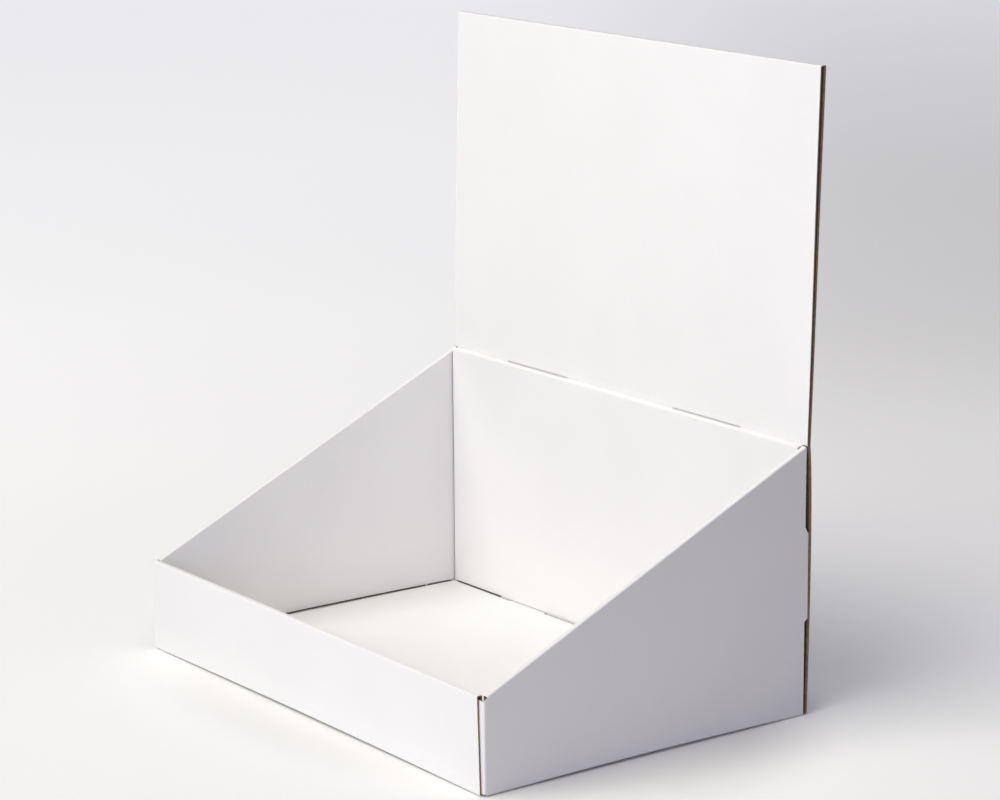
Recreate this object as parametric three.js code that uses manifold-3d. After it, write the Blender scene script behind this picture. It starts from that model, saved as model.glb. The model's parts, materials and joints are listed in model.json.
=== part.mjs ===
// Counter display carton: one die-cut sheet of white-faced board, folded into a tray with
// sloping sides, double rolled-over walls, a raised floor and a tall two-layer header.
// Units are millimetres. +X is right, +Y is to the rear, +Z is up. The origin is the centre
// of the tray's underside.
import * as THREE from 'three';
import { mergeVertices } from 'three/addons/utils/BufferGeometryUtils.js';
import Module from 'manifold-3d';

const wasm = await Module();
wasm.setup();

// Driving dimensions of the carton
const width = 300; // over the outer faces of the side walls
const depth = 203; // front face to rear face, at the base
const frontHeight = 49.5; // top of the front rim
const rimHeight = 140; // top of the rear rim, where the header starts
const headerHeight = 189; // from the rear rim to the top fold, along the header
const headerLean = THREE.MathUtils.degToRad(1.6); // header tilts to the rear
const headerTopThickness = 3.6; // over both header layers at the top fold

// Board and folds
const board = 0.8; // thickness of the sheet
const foldRadius = 1.2; // outer radius of every fold
const creaseSharpness = 0.1; // inner radius of the tight crease at the header's foot
const foldSteps = 5; // facets in a quarter turn
const layerGap = 0.4; // air between layers that lie on each other
const cutGap = 0.35; // air at a cut edge that meets another panel

// Double walls and floor
const floorTop = 3.8; // height of the raised floor's upper face
const floorGap = 0.7; // air around the raised floor's free edges
const ledgeDepth = 3.6; // flat top of the rear wall, in front of the header
const pinchGap = 0.6; // air between the header's layers at the rear rim
const rearBow = 1.7; // outward swell of the outer rear panel
const rearBowHeight = 115; // height that pulls the swell upward

// Front panel
const frontInsetBottom = 1.2; // side edge of the front panel, in from the side walls
const frontInsetTop = 2; // the same at the front rim

// Flaps tucked into the double walls
const frontFlapLength = 42;
const frontFlapTopDrop = 2.4; // flap stops this far under the front rim
const rearFlapLength = 34;
const rearFlapBottom = 49.3; // the rear flap hangs on the middle of the side's rear edge
const rearFlapTop = 98.5;
const rearFlapTaperBottom = 1.3; // die-cut taper of the flap's root
const rearFlapTaperTop = 3.1;
const rearFlapStand = 0.2; // flap's rear face, behind the rear panel's foot

// Tabs and slots
const sideTabLength = 146; // tab under the floor, hinged on each inner side panel
const sideTabWidth = 22;
const sideTabRear = 75.5; // rear end of that tab
const floorTabWidth = 31; // tabs of the floor that run under the inner rear panel
const floorTabCentre = 76;
const floorTabReach = 2.9;
const lockTabWidth = 40; // tab of the inner rear panel, through the bottom
const lockTabTip = 0.1; // its end, above the underside
const slitLength = 54; // slits in the ledge, along the header's foot
const slitCentre = 72;
const slitWidth = 0.9;
const tongueDrop = 0.9; // header edge that stands down in each slit

// Places that follow from the dimensions
const half = width / 2;
const frontFace = -depth / 2;
const rearFace = depth / 2;
const bend = foldRadius - board / 2; // radius of the fold at the middle of the board
const wall = 3 * board + 2 * layerGap; // a double wall with a flap inside
const headerFace = rearFace - 2 * board - pinchGap;
const sideRearEdge = headerFace - cutGap;
const innerRearFace = headerFace - ledgeDepth;
const innerFrontFace = frontFace + wall;
const innerSideFace = half - wall;
const middle = board / 2;
const slope = Math.atan2(rimHeight - frontHeight, sideRearEdge - innerFrontFace);
const restHeight = board + cutGap; // panels that stand on the bottom

// Solid of a closed geometry, for joining and cutting
function solid(geometry) {
  geometry.deleteAttribute('normal');
  geometry.deleteAttribute('uv');
  const merged = mergeVertices(geometry, 1e-5);
  return new wasm.Manifold(new wasm.Mesh({
    numProp: 3,
    vertProperties: new Float32Array(merged.attributes.position.array),
    triVerts: new Uint32Array(merged.index.array),
  }));
}

// Geometry of a finished solid
function geometryOf(body) {
  const mesh = body.getMesh();
  const geometry = new THREE.BufferGeometry();
  geometry.setAttribute('position', new THREE.BufferAttribute(new Float32Array(mesh.vertProperties), 3));
  geometry.setIndex(new THREE.BufferAttribute(new Uint32Array(mesh.triVerts), 1));
  geometry.computeVertexNormals();
  return geometry;
}

// Extrude an outline between two planes: its x and y run along the first two directions
function prism(outline, from, to, right, up) {
  const along = new THREE.Vector3().crossVectors(right, up);
  const options = { depth: to - from, bevelEnabled: false };
  const geometry = new THREE.ExtrudeGeometry(new THREE.Shape(outline), options);
  geometry.translate(0, 0, from);
  return solid(geometry.applyMatrix4(new THREE.Matrix4().makeBasis(right, up, along)));
}

const axisX = new THREE.Vector3(1, 0, 0);
const axisY = new THREE.Vector3(0, 1, 0);
const axisZ = new THREE.Vector3(0, 0, 1);

// Outline in the Y-Z plane, carried along X
const acrossX = (outline, from, to) => prism(outline, from, to, axisY, axisZ);

// Outline in the X-Z plane, carried along Y
const acrossY = (outline, from, to) => prism(outline, -to, -from, axisX, axisZ);

// Outline in the X-Y plane, carried along Z
const acrossZ = (outline, from, to) => prism(outline, from, to, axisX, axisY);

const point = (x, y) => new THREE.Vector2(x, y);

// Rectangle between two corners
function rectangle(x0, y0, x1, y1) {
  return [point(x0, y0), point(x1, y0), point(x1, y1), point(x0, y1)];
}

// Line through the corners with each inner corner turned into a fold's arc
function folded(corners, radii = []) {
  const line = [corners[0]];
  for (let i = 1; i < corners.length - 1; i += 1) {
    const radius = radii[i] ?? bend;
    const before = corners[i - 1].clone().sub(corners[i]).normalize();
    const after = corners[i + 1].clone().sub(corners[i]).normalize();
    const opening = Math.acos(THREE.MathUtils.clamp(before.dot(after), -1, 1));
    const turn = Math.sign(after.cross(before)) * (Math.PI - opening);
    const start = corners[i].clone().addScaledVector(before, radius / Math.tan(opening / 2));
    const centre = start.clone().add(point(-before.y, before.x).multiplyScalar(-Math.sign(turn) * radius));
    const steps = Math.max(2, Math.ceil((foldSteps * Math.abs(turn)) / (Math.PI / 2)));
    for (let k = 0; k <= steps; k += 1) line.push(start.clone().rotateAround(centre, (turn * k) / steps));
  }
  line.push(corners.at(-1));
  return line;
}

// Outline of a strip of board that follows a line at the board's middle
function strip(line) {
  const side = (sign) => line.map((here, i) => {
    const into = here.clone().sub(line[Math.max(i - 1, 0)]).normalize();
    const out = line[Math.min(i + 1, line.length - 1)].clone().sub(here).normalize();
    if (i === 0) into.copy(out);
    if (i === line.length - 1) out.copy(into);
    const mid = into.clone().add(out).normalize();
    const reach = (sign * middle) / mid.dot(out);
    return here.clone().add(point(-mid.y, mid.x).multiplyScalar(reach));
  });
  return [...side(1), ...side(-1).reverse()];
}

const join = (bodies) => bodies.reduce((sum, body) => sum.add(body));

// Bottom panel, with the slot for the inner rear panel's lock tab
function bottomPanel() {
  const sheet = acrossZ(rectangle(
    -half + foldRadius, frontFace + foldRadius, half - foldRadius, rearFace - foldRadius,
  ), 0, board);
  const slotHalf = lockTabWidth / 2 + cutGap;
  const slot = rectangle(-slotHalf, innerRearFace - cutGap, slotHalf, innerRearFace + board + cutGap);
  return sheet.subtract(acrossZ(slot, -1, board + 1));
}

// Front wall: the outer panel, rolled over at the rim into the inner panel and the raised floor
function frontWall() {
  const outer = frontFace + middle;
  const inner = innerFrontFace - middle;
  const overlap = 2 * foldRadius;
  const topHalf = half - frontInsetTop;
  const bottomHalf = half - frontInsetBottom;
  const foot = acrossX(strip(folded([
    point(outer, overlap), point(outer, middle), point(outer + overlap, middle),
  ])), -bottomHalf, bottomHalf);
  const face = acrossY([
    point(-bottomHalf, foldRadius), point(bottomHalf, foldRadius),
    point(topHalf, frontHeight - foldRadius), point(-topHalf, frontHeight - foldRadius),
  ], frontFace, frontFace + board);
  const roll = acrossX(strip(folded([
    point(outer, frontHeight - foldRadius - board), point(outer, frontHeight - middle),
    point(inner, frontHeight - middle), point(inner, floorTop + foldRadius),
  ])), -topHalf, topHalf);
  return join([foot, face, roll, raisedFloor(inner)]);
}

// Raised floor, hinged on the inner front panel and free at its other three edges
function raisedFloor(hinge) {
  const floorHalf = innerSideFace - floorGap;
  const rearEdge = innerRearFace - floorGap;
  const level = floorTop - middle;
  const sheet = acrossX(strip(folded([
    point(rearEdge, level), point(hinge, level), point(hinge, level + 3 * foldRadius),
  ])), -floorHalf, floorHalf);
  const tab = (centre) => acrossZ(rectangle(
    centre - floorTabWidth / 2, rearEdge - 1, centre + floorTabWidth / 2, rearEdge + floorTabReach,
  ), floorTop - board, floorTop);
  return join([sheet, tab(-floorTabCentre), tab(floorTabCentre)]);
}

// Side wall: outer panel, rolled over along the slope into the inner panel
function sideWall(side) {
  const outer = half - middle;
  const inner = innerSideFace + middle;
  const lean = new THREE.Vector3(0, -Math.sin(slope), Math.cos(slope));
  const reach = rimHeight + foldRadius;
  const top = frontHeight * Math.cos(slope) - innerFrontFace * Math.sin(slope);
  const section = strip(folded([
    point(outer, top - reach), point(outer, top - middle),
    point(inner, top - middle), point(inner, top - reach),
  ]).map((p) => point(side * p.x, p.y)));
  const roll = prism(section, -depth - rimHeight, depth + rimHeight, axisX, lean);
  const split = (inner + outer) / 2;
  const zone = (x0, x1, y0, z0, y1) => acrossX(
    rectangle(y0, z0, y1, 2 * rimHeight), Math.min(side * x0, side * x1), Math.max(side * x0, side * x1),
  );
  const outerPart = roll.intersect(
    zone(split, half + 1, innerFrontFace + cutGap, foldRadius, sideRearEdge),
  );
  const innerPart = roll.intersect(
    zone(inner - board, split, innerFrontFace + cutGap, restHeight, innerRearFace - cutGap),
  );
  const innerCap = roll.intersect(
    zone(inner - board, split, innerRearFace - board, rimHeight - wall, sideRearEdge),
  );
  const flaps = [sideTab(side), frontFlap(side), rearFlap(side)];
  return join([outerPart, innerPart, innerCap, sideFoot(side), ...flaps]);
}

// Fold between the bottom and an outer side panel
function sideFoot(side) {
  const outer = half - middle;
  const overlap = 2 * foldRadius;
  const line = folded([point(outer, overlap), point(outer, middle), point(outer - overlap, middle)]);
  return acrossY(strip(line.map((p) => point(side * p.x, p.y))), frontFlapLine() + bend, sideRearEdge);
}

// Tab under the raised floor, hinged on the foot of an inner side panel
function sideTab(side) {
  const inner = innerSideFace + middle;
  const level = restHeight + middle;
  const line = folded([
    point(inner, level + 3 * foldRadius), point(inner, level), point(inner - sideTabWidth, level),
  ]);
  return acrossY(strip(line.map((p) => point(side * p.x, p.y))), sideTabRear - sideTabLength, sideTabRear);
}

// Middle of the front flap's board, between the front wall's two panels
function frontFlapLine() {
  return frontFace + board + layerGap + middle;
}

// Flap of a side panel that is tucked into the front wall, over the full front height
function frontFlap(side) {
  const outer = half - middle;
  const plane = frontFlapLine();
  const line = folded([
    point(outer, innerFrontFace + foldRadius), point(outer, plane), point(outer - frontFlapLength, plane),
  ]);
  const section = strip(line.map((p) => point(side * p.x, p.y)));
  return acrossZ(section, foldRadius + cutGap, frontHeight - frontFlapTopDrop);
}

// Flap that hangs on the middle of a side panel's rear edge, tucked into the rear wall
function rearFlap(side) {
  const outer = half - middle;
  const plane = rearFace + rearFlapStand - middle;
  const line = folded([
    point(outer, sideRearEdge - foldRadius), point(outer, plane), point(outer - rearFlapLength, plane),
  ]);
  const section = strip(line.map((p) => point(side * p.x, p.y)));
  const edge = sideRearEdge;
  const tip = plane + board;
  const root = edge - 2 * foldRadius;
  const taper = acrossX([
    point(root, rearFlapBottom), point(edge, rearFlapBottom),
    point(tip, rearFlapBottom + rearFlapTaperBottom), point(tip, rearFlapTop - rearFlapTaperTop),
    point(edge, rearFlapTop), point(root, rearFlapTop),
  ], -half - 1, half + 1);
  return acrossZ(section, 0, rimHeight).intersect(taper);
}

// Outer rear panel, both header layers and the fold at the header's top
function rearPanelAndHeader() {
  const rear = rearFace - middle;
  const lean = Math.tan(headerLean);
  const top = rimHeight + headerHeight * Math.cos(headerLean);
  const front = headerFace + middle;
  const frontTop = front + (top - rimHeight) * lean;
  const rearTop = frontTop + headerTopThickness - board;
  const swell = new THREE.QuadraticBezierCurve(
    point(rear, 2 * foldRadius), point(rear + 2 * rearBow, rearBowHeight), point(rear, rimHeight),
  ).getPoints(14);
  const foot = folded([point(sideRearEdge + cutGap, middle), point(rear, middle), swell[0]]);
  const head = folded([
    swell.at(-1), point(rearTop, top - middle), point(frontTop, top - middle), point(front, rimHeight),
  ]);
  return acrossX(strip([...foot, ...swell.slice(1, -1), ...head]), -half, half);
}

// Ledge and inner rear panel, folded forward and down from the header's foot
function innerRear() {
  const rearHalf = innerSideFace - cutGap;
  const plane = innerRearFace + middle;
  const crease = headerFace + middle;
  const level = rimHeight - middle;
  const line = folded([
    point(crease, rimHeight + board), point(crease, level), point(plane, level), point(plane, restHeight),
  ], [0, middle + creaseSharpness]);
  const sheet = acrossX(strip(line), -rearHalf, rearHalf);
  const tabOutline = rectangle(-lockTabWidth / 2, lockTabTip, lockTabWidth / 2, restHeight + board);
  const lockTab = acrossY(tabOutline, innerRearFace, innerRearFace + board);
  const notch = (centre) => acrossX(
    rectangle(innerRearFace - 1, 0, innerRearFace + 2 * board, floorTop + cutGap),
    centre - floorTabWidth / 2 - cutGap, centre + floorTabWidth / 2 + cutGap,
  );
  return sheet.add(lockTab).subtract(notch(-floorTabCentre)).subtract(notch(floorTabCentre));
}

// Slit in the ledge, and the tongue of the header that stands down behind it
function slitCut(centre) {
  const outline = rectangle(headerFace - slitWidth, rimHeight - 2 * board, headerFace, rimHeight + board);
  return acrossX(outline, centre - slitLength / 2, centre + slitLength / 2);
}

function slitTongue(centre) {
  const outline = rectangle(headerFace, rimHeight - tongueDrop, headerFace + board, rimHeight + board / 4);
  return acrossX(outline, centre - slitLength / 2, centre + slitLength / 2);
}

// The whole folded sheet
function foldedCarton() {
  const ledge = innerRear().subtract(slitCut(-slitCentre)).subtract(slitCut(slitCentre));
  return join([
    bottomPanel(), frontWall(), sideWall(-1), sideWall(1), rearPanelAndHeader(), ledge,
    slitTongue(-slitCentre), slitTongue(slitCentre),
  ]);
}

const whiteBoard = new THREE.MeshStandardMaterial({ color: 0xf1f1f0, roughness: 0.55, metalness: 0 });
const carton = new THREE.Mesh(geometryOf(foldedCarton()), whiteBoard);
carton.name = 'folded_carton';

const group = new THREE.Group();
group.add(carton);

export default group;
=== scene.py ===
"""Counter display carton, folded from one sheet of white-faced board, in a pale studio.

The sheet is grown panel by panel as the board's middle surface, folded as a real blank is, and then
given its thickness. Lengths are in metres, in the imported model's own frame.
"""

import json
import logging
import math
from dataclasses import dataclass
from enum import Enum
from typing import Callable, Iterable

import bmesh
import bpy
from bmesh.types import BMEdge, BMFace, BMVert
from mathutils import Matrix, Vector, noise


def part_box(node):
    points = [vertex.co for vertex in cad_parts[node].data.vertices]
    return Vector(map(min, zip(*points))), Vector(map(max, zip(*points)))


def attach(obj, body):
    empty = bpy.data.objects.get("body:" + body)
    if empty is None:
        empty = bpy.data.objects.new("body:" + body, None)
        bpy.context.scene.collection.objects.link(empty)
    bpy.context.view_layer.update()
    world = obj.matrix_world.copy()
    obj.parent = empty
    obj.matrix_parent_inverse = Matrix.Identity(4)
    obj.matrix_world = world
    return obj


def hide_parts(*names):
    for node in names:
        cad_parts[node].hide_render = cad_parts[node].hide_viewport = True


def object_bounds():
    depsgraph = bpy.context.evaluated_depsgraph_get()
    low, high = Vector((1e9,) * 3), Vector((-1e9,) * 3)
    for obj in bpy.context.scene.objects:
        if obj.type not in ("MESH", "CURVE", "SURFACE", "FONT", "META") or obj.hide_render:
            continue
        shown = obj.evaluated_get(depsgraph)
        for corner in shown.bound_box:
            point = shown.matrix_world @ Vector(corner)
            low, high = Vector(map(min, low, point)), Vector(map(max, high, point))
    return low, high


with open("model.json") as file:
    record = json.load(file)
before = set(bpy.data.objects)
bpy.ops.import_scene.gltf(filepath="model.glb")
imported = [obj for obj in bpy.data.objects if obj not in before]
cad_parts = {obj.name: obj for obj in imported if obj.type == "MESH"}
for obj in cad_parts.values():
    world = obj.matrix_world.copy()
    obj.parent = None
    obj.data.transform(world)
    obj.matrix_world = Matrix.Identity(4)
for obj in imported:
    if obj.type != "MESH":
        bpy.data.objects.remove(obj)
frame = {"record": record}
CAD_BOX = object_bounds()

LOG = logging.getLogger("display_carton")
MM = 0.001
NODE = "folded_carton"
BODY = "root"
QUARTER = math.pi / 2
NUDGE = 0.01 * MM
STEPS_A_QUARTER = 8
SHARP = math.radians(40)
X_WAY, Y_WAY, Z_WAY = (Vector(way) for way in ((1, 0, 0), (0, 1, 0), (0, 0, 1)))
LINER = "liner"


class Hand(Enum):
    """Which side of the carton a side wall stands on."""

    LEFT = -1
    RIGHT = 1


def on_plane(axis: int, place: float) -> Callable[[BMFace], bool]:
    """Make a test for faces whose centre lies on a plane across an axis.

    Args:
        axis: The axis, 0 to 2.
        place: The plane's place on it.

    Returns:
        The test.
    """

    def test(face: BMFace) -> bool:
        """Tell whether a face is on the plane."""
        return abs(face.calc_center_median()[axis] - place) < NUDGE

    return test


def mount(name: str) -> dict:
    """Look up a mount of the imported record.

    Args:
        name: The mount's name.

    Returns:
        The mount's entry.
    """
    return next(m for m in frame["record"]["mounts"] if m["name"] == name)


@dataclass(frozen=True)
class CartonSizes:
    """Sizes of the folded sheet: the outer ones from the frame, the fine ones as in the part."""

    half: float
    front_face: float
    top: float
    floor_top: float
    header_pos: Vector
    header_axis: Vector
    front_height: float = 49.5 * MM
    rim_height: float = 140 * MM
    board: float = 0.8 * MM
    fold_radius: float = 1.2 * MM
    crease_radius: float = 0.85 * MM
    layer_gap: float = 0.4 * MM
    cut_gap: float = 0.35 * MM
    floor_gap: float = 0.7 * MM
    ledge_depth: float = 3.6 * MM
    pinch_gap: float = 0.6 * MM
    header_top_thickness: float = 3.6 * MM
    cut_below: float = 0.4 * MM
    cut_above: float = 0.55 * MM
    rear_bow: float = 1.4 * MM
    rear_bow_height: float = 115 * MM

    @classmethod
    def from_frame(cls) -> "CartonSizes":
        """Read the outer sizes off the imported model."""
        low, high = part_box(NODE)
        face = mount("header_face")
        return cls(
            half=high[0],
            front_face=low[1],
            top=high[2],
            floor_top=mount("tray_floor")["pos_m"][2],
            header_pos=Vector(face["pos_m"]),
            header_axis=Vector(face["axis"]),
        )

    @property
    def middle(self) -> float:
        """Half the board's thickness."""
        return self.board / 2

    @property
    def bend(self) -> float:
        """Radius of a fold at the board's middle."""
        return self.fold_radius - self.middle

    @property
    def crease(self) -> float:
        """Radius of a scored and pressed fold at the board's middle."""
        return self.crease_radius - self.middle

    @property
    def wall(self) -> float:
        """Thickness of a double wall with a flap inside."""
        return 3 * self.board + 2 * self.layer_gap

    @property
    def header_slope(self) -> float:
        """Rearward run of the header for each metre of height."""
        return -self.header_axis.z / self.header_axis.y

    @property
    def header_face(self) -> float:
        """Y of the header's front face at the rear rim."""
        return self.header_pos.y - (self.header_pos.z - self.rim_height) * self.header_slope

    @property
    def rear_face(self) -> float:
        """Y of the rear panel's outer face at its foot."""
        return self.header_face + 2 * self.board + self.pinch_gap

    @property
    def side_rear(self) -> float:
        """Y of the side panels' rear cut edge."""
        return self.header_face - self.cut_gap

    @property
    def side_front(self) -> float:
        """Y where the side panels turn into their front flaps."""
        return self.front_face + 2 * self.board + self.layer_gap + self.bend - self.middle

    @property
    def inner_rear(self) -> float:
        """Y of the inner rear panel's visible face."""
        return self.header_face - self.ledge_depth

    @property
    def inner_front(self) -> float:
        """Y of the inner front panel's visible face."""
        return self.front_face + self.wall

    @property
    def inner_side(self) -> float:
        """X of the inner right panel's visible face."""
        return self.half - self.wall

    @property
    def rest(self) -> float:
        """Height of the edges that stand on the bottom panel."""
        return self.board + self.cut_gap

    @property
    def cut_line(self) -> tuple[float, float]:
        """Lowest and highest point of the cut-through creases at the raised floor."""
        return self.floor_top - self.cut_below, self.floor_top + self.cut_above

    @property
    def slope(self) -> float:
        """Angle of the sloping rims."""
        return math.atan2(self.rim_height - self.front_height, self.side_rear - self.inner_front)


def ends_of(edges: Iterable[BMEdge]) -> list[BMVert]:
    """List the end vertices of some edges, each once and in a fixed order.

    Args:
        edges: The edges.

    Returns:
        Their vertices.
    """
    return list(dict.fromkeys(v for e in edges for v in e.verts))


class FoldedSheet:
    """The board's middle surface, grown from its free edges by panels and folds."""

    def __init__(self) -> None:
        """Start with an empty mesh."""
        self.mesh = bmesh.new()

    def row(self, start: Vector, end: Vector) -> list[BMEdge]:
        """Lay one free edge.

        Args:
            start: One end.
            end: The other end.

        Returns:
            The new edge, as a list.
        """
        ends = [bmesh.ops.create_vert(self.mesh, co=p)["vert"][0] for p in (start, end)]
        return list(bmesh.ops.contextual_create(self.mesh, geom=ends)["edges"])

    def panel(self, edges: Iterable[BMEdge], move: Vector) -> list[BMEdge]:
        """Grow a flat panel from a row of edges.

        Args:
            edges: The row to grow from.
            move: Where the far edge goes, from the row.

        Returns:
            The far row of edges.
        """
        grown = bmesh.ops.extrude_edge_only(self.mesh, edges=list(edges))["geom"]
        verts = [g for g in grown if isinstance(g, BMVert)]
        bmesh.ops.translate(self.mesh, verts=verts, vec=move)
        fresh = set(verts)
        return [g for g in grown if isinstance(g, BMEdge) and fresh.issuperset(g.verts)]

    def fold(self, edges: Iterable[BMEdge], centre: Vector, axis: Vector, angle: float) -> list[BMEdge]:
        """Roll the sheet about an axis, as at a crease.

        Args:
            edges: The row to roll from.
            centre: A point on the fold's axis.
            axis: The axis.
            angle: Turn in radians, by the right-hand rule.

        Returns:
            The far row of edges.
        """
        steps = max(2, round(STEPS_A_QUARTER * abs(angle) / QUARTER))
        edges = list(edges)
        geom = edges + ends_of(edges)
        last = bmesh.ops.spin(
            self.mesh, geom=geom, cent=centre, axis=axis, angle=angle, steps=steps, use_merge=False
        )["geom_last"]
        fresh = {g for g in last if isinstance(g, BMVert)}
        return [g for g in last if isinstance(g, BMEdge) and fresh.issuperset(g.verts)]

    def spread(self, edges: Iterable[BMEdge], left: float, right: float) -> None:
        """Stretch a row along X between two new ends.

        Args:
            edges: The row.
            left: New X of its left end.
            right: New X of its right end.
        """
        verts = ends_of(edges)
        low, high = min(v.co.x for v in verts), max(v.co.x for v in verts)
        space = Matrix.Translation(Vector((-low, 0, 0)))
        factor = (right - left) / (high - low)
        bmesh.ops.scale(self.mesh, verts=verts, vec=Vector((factor, 1, 1)), space=space)
        bmesh.ops.translate(self.mesh, verts=verts, vec=Vector((left - low, 0, 0)))

    def split(self, place: Vector, normal: Vector, where: Callable[[BMFace], bool] | None = None) -> None:
        """Cut new edges where a plane crosses the sheet.

        Args:
            place: A point on the plane.
            normal: The plane's normal.
            where: Faces that are cut; all of them if left out.
        """
        faces = [f for f in self.mesh.faces if where is None or where(f)]
        edges = list(dict.fromkeys(e for f in faces for e in f.edges))
        parts = faces + edges + ends_of(edges)
        bmesh.ops.bisect_plane(self.mesh, geom=parts, dist=NUDGE / 10, plane_co=place, plane_no=normal)

    def free_edges(self, where: Callable[[Vector], bool]) -> list[BMEdge]:
        """Find free edges by the place of their middles.

        Args:
            where: Test of an edge's middle point.

        Returns:
            The matching edges.
        """
        return [
            e for e in self.mesh.edges
            if len(e.link_faces) == 1 and where((e.verts[0].co + e.verts[1].co) / 2)
        ]

    def cut_out(self, where: Callable[[Vector], bool]) -> None:
        """Delete the faces whose centres pass a test.

        Args:
            where: Test of a face's centre.
        """
        faces = [f for f in self.mesh.faces if where(f.calc_center_median())]
        bmesh.ops.delete(self.mesh, geom=faces, context="FACES")


@dataclass
class MainStrip:
    """Floor, front wall, bottom, rear panel, header and inner rear panel, in one run of the sheet."""

    sizes: CartonSizes
    roll_left: float = 147.3 * MM
    front_top_left: float = 149.9 * MM
    front_top_right: float = 146.3 * MM
    front_foot_left: float = 149.4 * MM
    front_foot_right: float = 147.9 * MM
    tab_centre: float = 76 * MM
    tab_width: float = 31 * MM
    tab_reach: float = 2.9 * MM
    lock_width: float = 40 * MM
    lock_tip: float = 0.1 * MM
    slit_centre: float = 72 * MM
    slit_length: float = 54 * MM
    slit_width: float = 0.65 * MM
    slit_round: float = 2.4 * MM
    tongue_drop: float = 0.9 * MM
    swell_steps: int = 16
    score_depth: float = 0.25 * MM
    score_height: float = 0.8 * MM
    left_gap: float = 0.75 * MM
    right_gap: float = 0.15 * MM
    crease_play: float = 0.1 * MM
    roll_before_end: float = 0.6
    roll_over_end: float = 0.1
    rear_cut: tuple[float, float] = (-144.5 * MM, -102 * MM)

    def build(self, sheet: FoldedSheet) -> None:
        """Grow the whole strip.

        Args:
            sheet: The sheet to grow in.
        """
        rim = self._floor_and_front(sheet)
        foot = self._bottom(sheet, rim)
        crease = self._rear_and_header(sheet, foot)
        self._ledge_and_inner_rear(sheet, crease)

    def _floor_and_front(self, sheet: FoldedSheet) -> list[BMEdge]:
        """Grow the raised floor, the inner front panel, the rolled rim and the outer front panel.

        Args:
            sheet: The sheet to grow in.

        Returns:
            The row at the foot of the outer front panel.
        """
        s = self.sizes
        level = s.floor_top - s.middle
        floor_half = s.inner_side - s.floor_gap
        rear = s.inner_rear - s.floor_gap
        inner = s.inner_front - s.middle
        outer = s.front_face + s.middle
        row = sheet.row(Vector((-floor_half, rear, level)), Vector((floor_half, rear, level)))
        row = sheet.panel(row, Vector((0, inner + s.bend - rear, 0)))
        row = sheet.fold(row, Vector((0, inner + s.bend, level + s.bend)), X_WAY, -QUARTER)
        shoulder = 3 * s.fold_radius
        row = sheet.panel(row, Vector((0, 0, shoulder)))
        sheet.spread(row, -self.roll_left, self.front_top_right)
        tangent = s.front_height - s.crease_radius
        row = sheet.panel(row, Vector((0, 0, tangent - level - s.bend - shoulder)))
        row = sheet.fold(row, Vector((0, inner - s.crease, tangent)), X_WAY, QUARTER)
        row = sheet.panel(row, Vector((0, outer - inner + 2 * s.crease, 0)))
        centre = Vector((0, outer + s.crease, tangent))
        row = sheet.fold(row, centre, X_WAY, self.roll_before_end * QUARTER)
        row = sheet.fold(row, centre, X_WAY, self.roll_over_end * QUARTER)
        sheet.spread(row, -self.front_top_left, self.front_top_right)
        row = sheet.fold(row, centre, X_WAY, (1 - self.roll_before_end - self.roll_over_end) * QUARTER)
        row = sheet.panel(row, Vector((0, 0, s.crease_radius - tangent)))
        sheet.spread(row, -self.front_foot_left, self.front_foot_right)
        return row

    def _bottom(self, sheet: FoldedSheet, row: list[BMEdge]) -> list[BMEdge]:
        """Grow the front fold and the bottom panel.

        Args:
            sheet: The sheet to grow in.
            row: The foot of the outer front panel.

        Returns:
            The row at the rear of the bottom panel.
        """
        s = self.sizes
        outer = s.front_face + s.middle
        row = sheet.fold(row, Vector((0, outer + s.crease, s.crease_radius)), X_WAY, QUARTER)
        start = outer + s.crease
        edge = s.half - s.crease_radius
        row = sheet.panel(row, Vector((0, s.side_front - start, 0)))
        sheet.spread(row, -edge, edge)
        row = sheet.panel(row, Vector((0, s.side_rear - s.side_front, 0)))
        row = sheet.panel(row, Vector((0, s.rear_face - s.fold_radius - s.side_rear, 0)))
        sheet.spread(row, -s.half, s.half)
        return row

    def _rear_and_header(self, sheet: FoldedSheet, row: list[BMEdge]) -> list[BMEdge]:
        """Grow the outer rear panel, the header's rear layer, its top fold and its front layer.

        Args:
            sheet: The sheet to grow in.
            row: The rear of the bottom panel.

        Returns:
            The row at the header's foot.
        """
        s = self.sizes
        rear = s.rear_face - s.middle
        row = sheet.fold(row, Vector((0, rear - s.bend, s.fold_radius)), X_WAY, QUARTER)
        low, pull, high = s.fold_radius, s.rear_bow_height, s.rim_height

        def swell(t: float) -> Vector:
            """Find a point on the outer rear panel's bowed profile.

            Args:
                t: Place along the profile, from 0 to 1.

            Returns:
                The point.
            """
            y = rear + 4 * s.rear_bow * t * (1 - t)
            z = low * (1 - t) ** 2 + 2 * pull * t * (1 - t) + high * t ** 2
            return Vector((0, y, z))

        for k in range(self.swell_steps):
            row = sheet.panel(row, swell((k + 1) / self.swell_steps) - swell(k / self.swell_steps))
        tangent = s.top - s.crease_radius
        front_top = s.header_face + s.middle + (tangent - s.rim_height) * s.header_slope
        rear_top = front_top + s.header_top_thickness - s.board
        row = sheet.panel(row, Vector((0, rear_top - rear, tangent - s.rim_height)))
        row = sheet.fold(row, Vector((0, rear_top - s.crease, tangent)), X_WAY, QUARTER)
        row = sheet.panel(row, Vector((0, front_top - rear_top + 2 * s.crease, 0)))
        row = sheet.fold(row, Vector((0, front_top + s.crease, tangent)), X_WAY, QUARTER)
        score = s.rim_height + self.score_height
        over = s.header_face + s.middle + self.score_height * s.header_slope
        row = sheet.panel(row, Vector((0, over - front_top, score - tangent)))
        row = sheet.panel(row, Vector((0, self._foot - over, -self.score_depth)))
        return sheet.panel(row, Vector((0, 0, self.score_depth - self.score_height)))

    @property
    def _foot(self) -> float:
        """Y of the header's foot, pressed back by the score."""
        return self.sizes.header_face + self.sizes.middle + self.score_depth

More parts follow.
